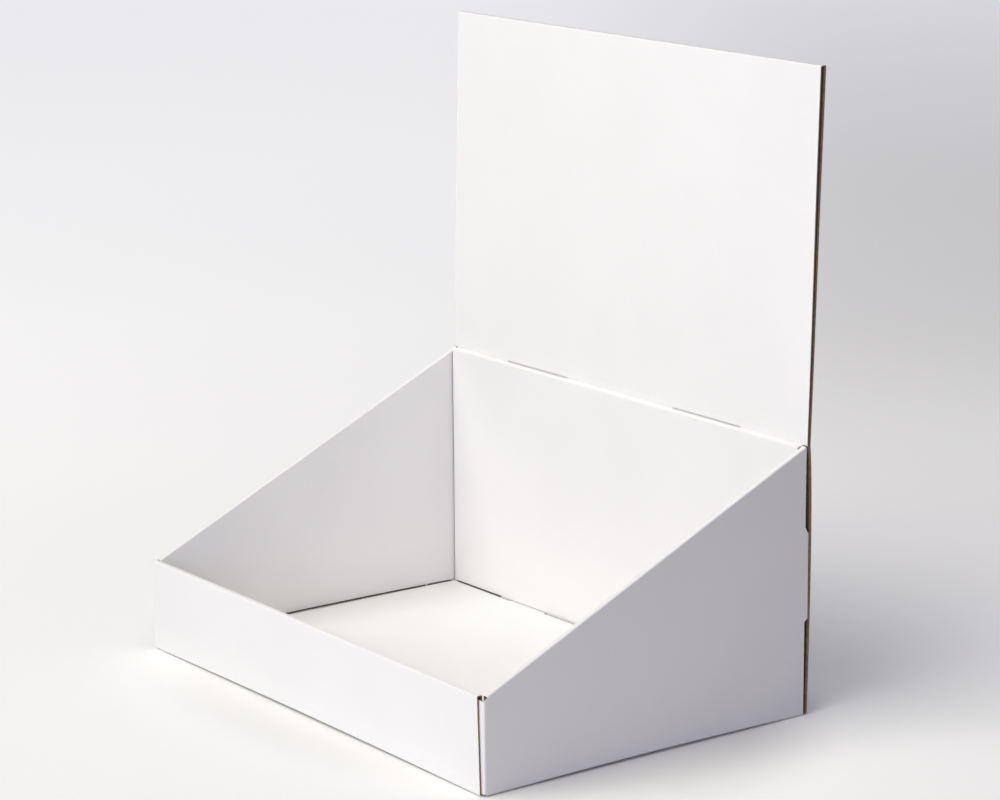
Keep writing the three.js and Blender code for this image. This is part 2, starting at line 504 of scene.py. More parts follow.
    def _ledge_and_inner_rear(self, sheet: FoldedSheet, row: list[BMEdge]) -> None:
        """Grow the ledge with its slits, and the inner rear panel with its tabs and notches.

        Args:
            sheet: The sheet to grow in.
            row: The header's foot, over the full width.
        """
        s = self.sizes
        left_end, right_end = self.left_gap - s.inner_side, s.inner_side - self.right_gap
        slits = [c + e * self.slit_length / 2 for c in (-self.slit_centre, self.slit_centre) for e in (-1, 1)]
        for x in (left_end, right_end, *slits):
            sheet.split(Vector((x, 0, 0)), X_WAY, lambda f: f.calc_center_median().z > s.rim_height)
        tongues = sheet.free_edges(lambda p: self._at_foot(p) and self._in_slit(p))
        ledge = sheet.free_edges(
            lambda p: self._at_foot(p) and left_end < p.x < right_end and not self._in_slit(p)
        )
        for sign in (-1, 1):
            tongue = [e for e in tongues if sign * e.verts[0].co.x > 0]
            tip = sheet.panel(tongue, Vector((0, 0, -self.tongue_drop)))
            centre = Matrix.Translation(Vector((-sign * self.slit_centre, 0, 0)))
            verts = ends_of(tip)
            narrower = 1 - self.slit_round / self.slit_length
            bmesh.ops.scale(sheet.mesh, verts=verts, vec=Vector((narrower, 1, 1)), space=centre)
        self._inner_rear(sheet, ledge)

    def _at_foot(self, place: Vector) -> bool:
        """Tell whether a point is on the header's foot."""
        return abs(place.y - self._foot) < NUDGE and abs(place.z - self.sizes.rim_height) < NUDGE

    def _in_slit(self, place: Vector) -> bool:
        """Tell whether a point lies between a slit's ends."""
        return abs(abs(place.x) - self.slit_centre) < self.slit_length / 2

    def _inner_rear(self, sheet: FoldedSheet, ledge: list[BMEdge]) -> None:
        """Grow the ledge and inner rear panel from the crease's parts between the slits.

        Args:
            sheet: The sheet to grow in.
            ledge: The crease's edges between the slits.
        """
        s = self.sizes
        foot = self._foot
        level = s.rim_height - s.middle
        plane = s.inner_rear + s.middle
        crease = s.middle + self.crease_play
        row = sheet.fold(ledge, Vector((0, foot - crease, s.rim_height)), X_WAY, -QUARTER)
        drop = level - (s.rim_height - crease)
        front_of_slit = s.header_face - self.slit_width
        row = sheet.panel(row, Vector((0, front_of_slit - foot + crease, drop)))
        verts = sorted(ends_of(row), key=lambda v: v.co.x)
        gaps = [
            (a, b) for a, b in zip(verts, verts[1:]) if not any(a in e.verts and b in e.verts for e in row)
        ]
        for pair in gaps:
            row += bmesh.ops.contextual_create(sheet.mesh, geom=list(pair))["edges"]
        row = sheet.panel(row, Vector((0, plane + s.bend - front_of_slit, 0)))
        row = sheet.fold(row, Vector((0, plane + s.bend, level - s.bend)), X_WAY, QUARTER)
        sheet.panel(row, Vector((0, 0, s.rest - level + s.bend)))
        self._tabs(sheet, plane)
        low, high = s.cut_line
        left, right = self.rear_cut
        for z in (low, high):
            sheet.split(Vector((0, 0, z)), Z_WAY, on_plane(1, plane))
        for x in (left, right):
            sheet.split(Vector((x, 0, 0)), X_WAY, on_plane(1, plane))
        sheet.cut_out(lambda p: abs(p.y - plane) < NUDGE and low < p.z < high and left < p.x < right)

    def _tabs(self, sheet: FoldedSheet, plane: float) -> None:
        """Cut the notches and slot, and grow the floor's tabs and the lock tab.

        Args:
            sheet: The sheet to work on.
            plane: Y of the middle of the inner rear panel.
        """
        s = self.sizes
        is_inner = on_plane(1, plane)
        is_floor = on_plane(2, s.floor_top - s.middle)
        is_bottom = on_plane(2, s.middle)
        half_tab, half_notch = self.tab_width / 2, self.tab_width / 2 + s.cut_gap
        notch_top = s.floor_top + s.cut_gap
        sheet.split(Vector((0, 0, notch_top)), Z_WAY, is_inner)
        for side in (-1, 1):
            for end in (-1, 1):
                sheet.split(Vector((side * self.tab_centre + end * half_notch, 0, 0)), X_WAY, is_inner)
                sheet.split(Vector((side * self.tab_centre + end * half_tab, 0, 0)), X_WAY, is_floor)
            sheet.split(Vector((side * self.lock_width / 2, 0, 0)), X_WAY, is_inner)
            sheet.split(Vector((side * (self.lock_width / 2 + s.cut_gap), 0, 0)), X_WAY, is_bottom)
        sheet.cut_out(
            lambda p: abs(p.y - plane) < NUDGE and p.z < notch_top
            and abs(abs(p.x) - self.tab_centre) < half_notch
        )
        rear_edge = s.inner_rear - s.floor_gap
        level = s.floor_top - s.middle
        tabs = sheet.free_edges(
            lambda p: abs(p.y - rear_edge) < NUDGE and abs(p.z - level) < NUDGE
            and abs(abs(p.x) - self.tab_centre) < half_tab
        )
        sheet.panel(tabs, Vector((0, self.tab_reach, 0)))
        lock = sheet.free_edges(
            lambda p: abs(p.y - plane) < NUDGE and abs(p.z - s.rest) < NUDGE
            and abs(p.x) < self.lock_width / 2
        )
        sheet.panel(lock, Vector((0, 0, self.lock_tip - s.rest)))
        slot = (s.inner_rear - s.cut_gap, s.inner_rear + s.board + s.cut_gap)
        for y in slot:
            sheet.split(Vector((0, y, 0)), Y_WAY, is_bottom)
        sheet.cut_out(
            lambda p: abs(p.z - s.middle) < NUDGE and slot[0] < p.y < slot[1]
            and abs(p.x) < self.lock_width / 2 + s.cut_gap
        )


@dataclass
class SideWall:
    """One side of the tray: outer panel, rolled slope, inner panel, its tab and both flaps."""

    sizes: CartonSizes
    hand: Hand
    tab_length: float = 146 * MM
    tab_rear: float = 75.5 * MM
    tab_width: float = 22 * MM
    front_flap: float = 42 * MM
    rear_flap: float = 34 * MM
    rear_flap_bottom: float = 49.3 * MM
    rear_flap_top: float = 98.5 * MM
    taper_bottom: float = 1.3 * MM
    taper_top: float = 3.1 * MM
    rear_flap_stand: float = 0.2 * MM
    flap_foot: float = 1.05 * MM
    front_flap_drop: float = 0.9 * MM
    bridge: float = 76.0 * MM
    bridge_width: float = 1.4 * MM
    cut_end: float = 2.2 * MM
    same_edge: float = 0.1 * MM

    def build(self, sheet: FoldedSheet) -> None:
        """Grow the side from the bottom panel's edge.

        Args:
            sheet: The sheet to grow in.
        """
        s = self.sizes
        side = self.hand.value
        edge_x = side * (s.half - s.crease_radius)
        front = s.side_front
        roll_front = s.inner_front + s.cut_gap
        sheet.split(Vector((0, roll_front, 0)), Y_WAY, on_plane(2, s.middle))
        row = sheet.free_edges(
            lambda p: abs(p.x - edge_x) < NUDGE and abs(p.z - s.middle) < NUDGE
            and front - NUDGE < p.y < s.side_rear + NUDGE
        )
        row = sheet.fold(row, Vector((edge_x, 0, s.crease_radius)), Y_WAY, -side * QUARTER)
        row = sheet.panel(row, Vector((0, 0, 0)))
        self._shear_to_slope(sheet, row)
        self._flaps(sheet, front)
        rim = sheet.free_edges(
            lambda p: p.x * side > s.half - s.board and p.y > roll_front
            and abs(p.z - self._slope_height(p.y)) < NUDGE
        )
        self._roll_and_inner(sheet, rim)

    def _slope_height(self, y: float) -> float:
        """Height of the outer panel's tangent with the rolled rim.

        Args:
            y: Place along the side.

        Returns:
            The height.
        """
        s = self.sizes
        top = s.front_height + math.tan(s.slope) * (y - s.inner_front)
        return top - s.crease_radius / math.cos(s.slope)

    def _shear_to_slope(self, sheet: FoldedSheet, row: list[BMEdge]) -> None:
        """Raise a level row of edges to the sloping tangent.

        Args:
            sheet: The sheet.
            row: The level row at the fold's end.
        """
        s = self.sizes
        shear = Matrix.Identity(4)
        shear[2][1] = math.tan(s.slope)
        verts = ends_of(row)
        lift = Vector((0, 0, self._slope_height(0.0) - s.crease_radius))
        bmesh.ops.transform(sheet.mesh, matrix=Matrix.Translation(lift) @ shear, verts=verts)

    def _roll_and_inner(self, sheet: FoldedSheet, row: list[BMEdge]) -> None:
        """Grow the rolled rim, the inner panel and its tab under the floor.

        Args:
            sheet: The sheet to grow in.
            row: The sloping row behind the front wall.
        """
        s = self.sizes
        side = self.hand.value
        along = Vector((0, math.cos(s.slope), math.sin(s.slope)))
        outer, inner = s.half - s.middle, s.inner_side + s.middle
        base = self._slope_height(0.0)
        row = sheet.fold(row, Vector((side * (outer - s.crease), 0, base)), along, -side * QUARTER)
        row = sheet.panel(row, Vector((-side * (outer - inner - 2 * s.crease), 0, 0)))
        row = sheet.fold(row, Vector((side * (inner + s.crease), 0, base)), along, -side * QUARTER)
        turn = s.rest + s.middle + s.bend
        row = sheet.panel(row, Vector((0, 0, 0)))
        verts = ends_of(row)
        flatten = Matrix.Translation(Vector((0, 0, -turn)))
        bmesh.ops.scale(sheet.mesh, verts=verts, vec=Vector((1, 1, 0)), space=flatten)
        x = side * inner
        for y in (self.tab_rear - self.tab_length, self.tab_rear):
            sheet.split(Vector((0, y, 0)), Y_WAY, on_plane(0, x))
        free = sheet.free_edges(lambda p: abs(p.x - x) < NUDGE and abs(p.z - turn) < NUDGE)
        tab = [e for e in free if self._on_tab((e.verts[0].co.y + e.verts[1].co.y) / 2)]
        sheet.panel([e for e in free if e not in tab], Vector((0, 0, s.rest - turn)))
        tab = sheet.fold(tab, Vector((x - side * s.bend, 0, turn)), Y_WAY, side * QUARTER)
        sheet.panel(tab, Vector((-side * (self.tab_width - s.bend), 0, 0)))
        self._cut_line(sheet, x)

    def _cut_line(self, sheet: FoldedSheet, x: float) -> None:
        """Cut the inner panel through along the raised floor, but for one bridge.

        Args:
            sheet: The sheet.
            x: Place of the inner panel's middle.
        """
        s = self.sizes
        low, high = s.cut_line
        half = self.bridge_width / 2
        start, end = s.inner_front + self.cut_end, s.inner_rear - self.cut_end
        for z in (low, high):
            sheet.split(Vector((0, 0, z)), Z_WAY, on_plane(0, x))
        for y in (start, self.bridge - half, self.bridge + half, end):
            sheet.split(Vector((0, y, 0)), Y_WAY, on_plane(0, x))
        sheet.cut_out(
            lambda p: abs(p.x - x) < NUDGE and low < p.z < high and start < p.y < end
            and abs(p.y - self.bridge) > half
        )

    def _on_tab(self, y: float) -> bool:
        """Tell whether a place along the side is on the tab."""
        return self.tab_rear - self.tab_length < y < self.tab_rear

    def _flaps(self, sheet: FoldedSheet, front: float) -> None:
        """Grow the flaps that are tucked into the front and rear walls.

        Args:
            sheet: The sheet to grow in.
            front: Y of the outer panel's front edge.
        """
        s = self.sizes
        side = self.hand.value
        x = side * (s.half - s.middle)
        for z in (self.flap_foot, self.rear_flap_bottom, self.rear_flap_top):
            sheet.split(Vector((0, 0, z)), Z_WAY, on_plane(0, x))
        row = sheet.free_edges(
            lambda p: abs(p.x - x) < NUDGE and abs(p.y - front) < NUDGE and p.z > self.flap_foot
        )
        row = sheet.fold(row, Vector((x - side * s.bend, front, 0)), Z_WAY, -side * QUARTER)
        sheet.panel(row, Vector((-side * (self.front_flap - s.bend), 0, 0)))
        self._lower_front_flap(sheet, front)
        row = sheet.free_edges(
            lambda p: abs(p.x - x) < NUDGE and abs(p.y - s.side_rear) < NUDGE
            and self.rear_flap_bottom < p.z < self.rear_flap_top
        )
        plane = s.rear_face + self.rear_flap_stand - s.middle
        row = sheet.panel(row, Vector((0, plane - s.bend - s.side_rear, 0)))
        self._taper(sheet, row)
        row = sheet.fold(row, Vector((x - side * s.bend, plane - s.bend, 0)), Z_WAY, side * QUARTER)
        sheet.panel(row, Vector((-side * (self.rear_flap - s.bend), 0, 0)))

    def _lower_front_flap(self, sheet: FoldedSheet, front: float) -> None:
        """Let the front flap's top edge fall off around its fold.

        Args:
            sheet: The sheet.
            front: Y of the outer panel's front edge.
        """
        s = self.sizes
        top = self._slope_height(front)
        reach = s.half - self.front_flap - s.board
        for vert in sheet.mesh.verts:
            turned = (front - vert.co.y) / s.bend
            on_flap = 0 < turned < 1 + NUDGE / s.bend and vert.co.x * self.hand.value > reach
            if on_flap and abs(vert.co.z - top) < self.same_edge:
                vert.co.z -= self.front_flap_drop * turned

    def _taper(self, sheet: FoldedSheet, row: list[BMEdge]) -> None:
        """Narrow the rear flap's root as it is die-cut.

        Args:
            sheet: The sheet.
            row: The far row of the root.
        """
        low, high = self.rear_flap_bottom, self.rear_flap_top
        new_low, new_high = low + self.taper_bottom, high - self.taper_top
        factor = (new_high - new_low) / (high - low)
        fixed = (new_low - low * factor) / (1 - factor)
        verts = ends_of(row)
        space = Matrix.Translation(Vector((0, 0, -fixed)))
        bmesh.ops.scale(sheet.mesh, verts=verts, vec=Vector((1, 1, factor)), space=space)


@dataclass(frozen=True)
class CoatedFace:
    """Matt coated white face of the board."""

    name: str = "coated_white"
    tone: tuple[float, float, float] = (0.905, 0.898, 0.89)
    tone_low: tuple[float, float, float] = (0.88, 0.873, 0.864)
    roughness: float = 0.5

    def make(self) -> bpy.types.Material:
        """Make the material: faint clouding and fine fibres.

        Returns:
            The finished material.
        """
        nodes = Shader(self.name)
        cloud = nodes.noise(scale=14.0, detail=3.0)
        fibre = nodes.noise(scale=900.0, detail=4.0)
        mixed = nodes.math("MULTIPLY_ADD", cloud, 0.7, nodes.math("MULTIPLY", fibre, 0.3))
        nodes.colour(nodes.ramp(mixed, (0.35, self.tone_low), (0.6, self.tone)))
        nodes.bump(fibre, strength=0.25, distance=0.02 * MM)
        nodes.shader.inputs["Roughness"].default_value = self.roughness
        nodes.shader.inputs["Specular IOR Level"].default_value = 0.3
        return nodes.material


@dataclass(frozen=True)
class KraftFace:
    """Brown inner face of the board."""

    name: str = "kraft_inner"
    tone: tuple[float, float, float] = (0.36, 0.25, 0.165)
    tone_low: tuple[float, float, float] = (0.26, 0.17, 0.105)
    roughness: float = 0.85

    def make(self) -> bpy.types.Material:
        """Make the material: brown with long fibres.

        Returns:
            The finished material.
        """
        nodes = Shader(self.name)
        fibre = nodes.noise(scale=500.0, detail=5.0, stretch=(0.2, 1.0, 1.0))
        nodes.colour(nodes.ramp(fibre, (0.35, self.tone_low), (0.65, self.tone)))
        nodes.bump(fibre, strength=0.4, distance=0.03 * MM)
        nodes.shader.inputs["Roughness"].default_value = self.roughness
        nodes.shader.inputs["Specular IOR Level"].default_value = 0.2
        return nodes.material


@dataclass(frozen=True)
class CutEdge:
    """Die-cut edge of the board: brown pulp under a thin white liner."""

    name: str = "cut_edge"
    tone: tuple[float, float, float] = (0.27, 0.185, 0.12)
    tone_low: tuple[float, float, float] = (0.17, 0.11, 0.07)
    liner: tuple[float, float, float] = (0.86, 0.85, 0.83)
    liner_from: float = 0.84
    liner_blur: float = 0.03
    roughness: float = 0.9

    def make(self) -> bpy.types.Material:
        """Make the material: mottled pulp, with the liner along its white side.

        Returns:
            The finished material.
        """
        nodes = Shader(self.name)
        fibre = nodes.noise(scale=1600.0, detail=3.0)
        pulp = nodes.ramp(fibre, (0.3, self.tone_low), (0.55, self.tone))
        depth = nodes.attribute(LINER)
        share = nodes.fade(depth, self.liner_from - self.liner_blur, self.liner_from + self.liner_blur)
        nodes.colour(nodes.blend(share, pulp, nodes.plain(self.liner)))
        nodes.bump(fibre, strength=0.3, distance=0.03 * MM)
        nodes.shader.inputs["Roughness"].default_value = self.roughness
        return nodes.material


class Shader:
    """A small helper that wires a Principled material on Object coordinates."""

    def __init__(self, name: str) -> None:
        """Start a material.

        Args:
            name: The material's name.
        """
        self.material = bpy.data.materials.new(name)
        self.material.use_nodes = True
        self.tree = self.material.node_tree
        self.shader = self.tree.nodes["Principled BSDF"]
        self.place = self.tree.nodes.new("ShaderNodeTexCoord").outputs["Object"]

    def noise(
        self, scale: float, detail: float, stretch: tuple[float, float, float] = (1.0, 1.0, 1.0)
    ) -> bpy.types.NodeSocket:
        """Add a noise texture.

        Args:
            scale: Features for each metre.
            detail: Octaves.
            stretch: Scale of the place along each axis.

        Returns:
            The noise's value.
        """
        mapping = self.tree.nodes.new("ShaderNodeMapping")
        mapping.inputs["Scale"].default_value = stretch
        texture = self.tree.nodes.new("ShaderNodeTexNoise")
        texture.inputs["Scale"].default_value = scale
        texture.inputs["Detail"].default_value = detail
        self.tree.links.new(self.place, mapping.inputs["Vector"])
        self.tree.links.new(mapping.outputs["Vector"], texture.inputs["Vector"])
        return texture.outputs["Fac"]

    def math(self, operation: str, *values: bpy.types.NodeSocket | float) -> bpy.types.NodeSocket:
        """Add a math node.

        Args:
            operation: The node's operation.
            values: Sockets or numbers, in order.

        Returns:
            The result.
        """
        node = self.tree.nodes.new("ShaderNodeMath")
        node.operation = operation
        for value, socket in zip(values, node.inputs):
            if isinstance(value, (int, float)):
                socket.default_value = value
            else:
                self.tree.links.new(value, socket)
        return node.outputs["Value"]

    def attribute(self, name: str) -> bpy.types.NodeSocket:
        """Read one of the mesh's own values.

        Args:
            name: The attribute's name.

        Returns:
            Its value.
        """
        node = self.tree.nodes.new("ShaderNodeAttribute")
        node.attribute_name = name
        return node.outputs["Fac"]

    def blend(
        self, share: bpy.types.NodeSocket, first: bpy.types.NodeSocket, second: bpy.types.NodeSocket
    ) -> bpy.types.NodeSocket:
        """Mix two colours.

        Args:
            share: Share of the second colour.
            first: The first colour.
            second: The second colour.

        Returns:
            The mixed colour.
        """
        node = self.tree.nodes.new("ShaderNodeMix")
        node.data_type = "RGBA"
        colours = [socket for socket in node.inputs if socket.type == "RGBA"]
        self.tree.links.new(share, node.inputs[0])
        self.tree.links.new(first, colours[0])
        self.tree.links.new(second, colours[1])
        return next(socket for socket in node.outputs if socket.type == "RGBA")

    def plain(self, tone: tuple[float, float, float]) -> bpy.types.NodeSocket:
        """Add a plain colour.

        Args:
            tone: The colour.

        Returns:
            The colour's socket.
        """
        node = self.tree.nodes.new("ShaderNodeRGB")
        node.outputs["Color"].default_value = (*tone, 1.0)
        return node.outputs["Color"]

    def vector(
        self, operation: str, value: bpy.types.NodeSocket, other: tuple[float, float, float] = (0.0, 0.0, 0.0)
    ) -> bpy.types.Node:
        """Add a vector math node.

        Args:
            operation: The node's operation.
            value: The vector.
            other: The constant vector that it meets.

        Returns:
            The node.
        """
        node = self.tree.nodes.new("ShaderNodeVectorMath")
        node.operation = operation
        self.tree.links.new(value, node.inputs[0])
        node.inputs[1].default_value = other
        return node

    def dot(self, value: bpy.types.NodeSocket, way: tuple[float, float, float]) -> bpy.types.NodeSocket:
        """Measure a vector along a way."""
        return self.vector("DOT_PRODUCT", value, way).outputs["Value"]

    def times(self, value: bpy.types.NodeSocket, factors: tuple[float, float, float]) -> bpy.types.NodeSocket:
        """Scale a vector axis by axis."""
        return self.vector("MULTIPLY", value, factors).outputs["Vector"]

    def length(self, value: bpy.types.NodeSocket) -> bpy.types.NodeSocket:
        """Measure a vector's length."""
        return self.vector("LENGTH", value).outputs["Value"]

    def fade(
        self, value: bpy.types.NodeSocket, start: float, end: float, curve: str = "SMOOTHSTEP"
    ) -> bpy.types.NodeSocket:
        """Map a range to 0 to 1.

        Args:
            value: The value.
            start: Where 0 is reached.
            end: Where 1 is reached.
            curve: The map's interpolation.

        Returns:
            The mapped value.
        """
        node = self.tree.nodes.new("ShaderNodeMapRange")
        node.interpolation_type = curve
        node.inputs["From Min"].default_value = start
        node.inputs["From Max"].default_value = end
        self.tree.links.new(value, node.inputs["Value"])
        return node.outputs["Result"]

    def profile(
        self, value: bpy.types.NodeSocket, stops: list[tuple[float, tuple[float, float, float]]]
    ) -> bpy.types.NodeSocket:
        """Follow a smooth curve of grey stops.

        Args:
            value: Place along the curve.
            stops: Positions and levels.

        Returns:
            The level.
        """
        colour = self.ramp(value, *stops)
        colour.node.color_ramp.interpolation = "B_SPLINE"
        node = self.tree.nodes.new("ShaderNodeSeparateColor")
        self.tree.links.new(colour, node.inputs["Color"])
        return node.outputs["Red"]

    def ramp(
        self, value: bpy.types.NodeSocket, *stops: tuple[float, tuple[float, float, float]]
    ) -> bpy.types.NodeSocket:
        """Turn a value into a colour.

        Args:
            value: The value.
            stops: Positions and colours.

        Returns:
            The colour.
        """
        node = self.tree.nodes.new("ShaderNodeValToRGB")
        elements = node.color_ramp.elements
        while len(elements) < len(stops):
            elements.new(0.5)
        for element, (position, tone) in zip(elements, stops):
            element.position = position
            element.color = (*tone, 1.0)
        self.tree.links.new(value, node.inputs["Fac"])
        return node.outputs["Color"]

    def colour(self, value: bpy.types.NodeSocket) -> None:
        """Use a colour as the surface's own."""
        self.tree.links.new(value, self.shader.inputs["Base Color"])

    def bump(self, height: bpy.types.NodeSocket, strength: float, distance: float) -> None:
        """Raise the surface by a height.

        Args:
            height: The height's value.
            strength: Share of the effect.
            distance: Height of a full step.
        """
        node = self.tree.nodes.new("ShaderNodeBump")
        node.inputs["Strength"].default_value = strength
        node.inputs["Distance"].default_value = distance
        self.tree.links.new(height, node.inputs["Height"])
        self.tree.links.new(node.outputs["Normal"], self.shader.inputs["Normal"])


@dataclass
class Carton:
    """The folded sheet as one piece with its thickness and finishes."""

    sizes: CartonSizes
    name: str = "carton_sheet"
    cell: float = 8 * MM
    warp: float = 0.2 * MM
    warp_length: float = 110 * MM
    warp_shift: Vector = Vector((7.3, 2.9, 5.1)).freeze()
    foot_lift: float = 1.4 * MM
    corner_share: float = 0.3
    foot_reach: float = 40 * MM
    side_draw: float = 1.6 * MM
    rear_draw: float = 0.7 * MM
    finishes: tuple[CoatedFace | KraftFace | CutEdge, ...] = (CoatedFace(), KraftFace(), CutEdge())

    def build(self) -> bpy.types.Object:
        """Fold the sheet and finish it.

        Returns:
            The finished piece.
        """
        sheet = FoldedSheet()
        MainStrip(self.sizes).build(sheet)
        for hand in Hand:
            SideWall(self.sizes, hand).build(sheet)
        self._grid(sheet)
        self._relax(sheet)
        self._face_outwards(sheet)
        data = bpy.data.meshes.new(self.name)
        sheet.mesh.to_mesh(data)
        sheet.mesh.free()
        for finish in self.finishes:
            data.materials.append(finish.make())
        piece = bpy.data.objects.new(self.name, data)
        bpy.context.scene.collection.objects.link(piece)
        self._thicken(piece)
        return piece

    def _grid(self, sheet: FoldedSheet) -> None:
        """Cut the panels into a grid that can carry a slight warp.

        Args:
            sheet: The folded sheet.
        """
        low, high = CAD_BOX
        for axis in range(3):
            normal = Vector([float(i == axis) for i in range(3)])
            for k in range(1, int((high[axis] - low[axis]) / self.cell)):
                sheet.split(low + normal * (k * self.cell + NUDGE), normal)

    def _relax(self, sheet: FoldedSheet) -> None:
        """Warp the whole sheet a little, all layers together, and lift its foot.

        Args:
            sheet: The folded sheet.
        """
        for vert in sheet.mesh.verts:
            place = vert.co / self.warp_length
            drift = Vector((noise.noise(place), noise.noise(place + self.warp_shift), 0.0))
            lift = min(1.0, vert.co.z / self.warp_length)
            vert.co += drift * self.warp * lift
            self._draw_in(vert)
            vert.co.z += self._foot_rise(vert.co)

    def _draw_in(self, vert: BMVert) -> None:
        """Let the raised floor's free edges stand off the walls, most at their middles.

        Args:
            vert: A vertex of the sheet.
        """
        s = self.sizes
        half, rear = s.inner_side - s.floor_gap, s.inner_rear - s.floor_gap
        place = vert.co
        if abs(place.z - s.floor_top + s.middle) > NUDGE + self.warp or abs(place.x) > half + NUDGE:
            return
        along = min(1.0, max(0.0, (place.y - s.inner_front) / (rear - s.inner_front)))
        near_side = max(0.0, (abs(place.x) - half) / self.cell + 1.0)
        place.x -= math.copysign(self.side_draw * math.sin(math.pi * along) * near_side, place.x)
        if place.y < rear + NUDGE:
            across = math.sin(math.pi * min(1.0, abs(place.x) / half))
            near_rear = max(0.0, (place.y - rear) / self.cell + 1.0)
            place.y -= self.rear_draw * across * near_rear

    def _foot_rise(self, place: Vector) -> float:
        """Height by which the tray's outer folds stand clear of the ground, on its slightly full bottom.

        Args:
            place: A point of the sheet.

        Returns:
            The rise, which is nothing above the folds' reach and under the tray's middle.
        """
        s = self.sizes
        inset = min(s.half - abs(place.x), place.y - s.front_face, s.rear_face - place.y)
        edge = max(0.0, 1.0 - max(0.0, inset) / self.foot_reach)
        height = max(0.0, 1.0 - place.z / s.front_height)
        shares = (0.5 + place.x / s.half / 2, (place.y - s.front_face) / (s.rear_face - s.front_face))
        arch = max(math.sin(math.pi * min(1.0, max(0.0, share))) for share in shares)
        return self.foot_lift * (self.corner_share + (1 - self.corner_share) * arch) * edge * edge * height

    def _face_outwards(self, sheet: FoldedSheet) -> None:
        """Turn every face so that the white side is outside.

        Args:
            sheet: The folded sheet.
        """
        mesh = sheet.mesh
        bmesh.ops.remove_doubles(mesh, verts=mesh.verts[:], dist=NUDGE)
        bmesh.ops.recalc_face_normals(mesh, faces=mesh.faces[:])
        header = max(mesh.faces, key=lambda f: f.calc_center_median().z - f.calc_center_median().y)
        if header.normal.y > 0:
            bmesh.ops.reverse_faces(mesh, faces=mesh.faces[:])
        for face in mesh.faces:
            face.smooth = True

    def _on_ledge_end(self, place: Vector) -> bool:
        """Tell whether a point is at the ledge's ends, where the liner is pressed over the cut edge.

        Args:
            place: The point.

        Returns:
            Whether it is there.
        """
        s = self.sizes
        past_wall = abs(place.x) > s.inner_side - s.fold_radius
        return past_wall and abs(place.z - s.rim_height) < 4 * s.board and place.y < s.header_face

    def _thicken(self, piece: bpy.types.Object) -> None:
        """Give the sheet the board's thickness, with its own faces for the inside and the cut edges.

        Args:
            piece: The sheet's object.
        """
        solid = piece.modifiers.new("board", "SOLIDIFY")
        solid.thickness = self.sizes.board
        solid.offset = 0.0
        solid.use_even_offset = True
        solid.material_offset = 1
        solid.material_offset_rim = 2
        evaluated = piece.evaluated_get(bpy.context.evaluated_depsgraph_get())
        finished = bpy.data.meshes.new_from_object(evaluated)
        piece.modifiers.clear()
        piece.data = finished
        mesh = bmesh.new()
        mesh.from_mesh(finished)
        depth = mesh.verts.layers.float.new(LINER)
        for vert in mesh.verts:
            outside = any(face.material_index == 0 for face in vert.link_faces)
            vert[depth] = float(outside or self._on_ledge_end(vert.co))
        for edge in mesh.edges:
            edge.smooth = edge.calc_face_angle(0.0) < SHARP
        mesh.to_mesh(finished)
        mesh.free()
        normals = piece.modifiers.new("flat panels", "WEIGHTED_NORMAL")
        normals.keep_sharp = True


@dataclass(frozen=True)
class SoftLight:
    """A square softbox aimed at the carton."""

    name: str
    azimuth: float
    elevation: float
    size: float
    power: float
    tone: tuple[float, float, float]
    distance: float = 2.4
    aim_height: float = 0.12

    def build(self) -> None:
        """Hang the light; its azimuth runs from the front towards the left."""
        data = bpy.data.lights.new(self.name, "AREA")
        data.shape = "SQUARE"
        data.size = self.size
        data.energy = self.power
        data.color = self.tone
        light = bpy.data.objects.new(self.name, data)
        bpy.context.scene.collection.objects.link(light)
        a, e = math.radians(self.azimuth), math.radians(self.elevation)
        way = Vector((-math.sin(a) * math.cos(e), -math.cos(a) * math.cos(e), math.sin(e)))
        light.location = way * self.distance + Vector((0, 0, self.aim_height))
        light.rotation_euler = way.to_track_quat("Z", "Y").to_euler()


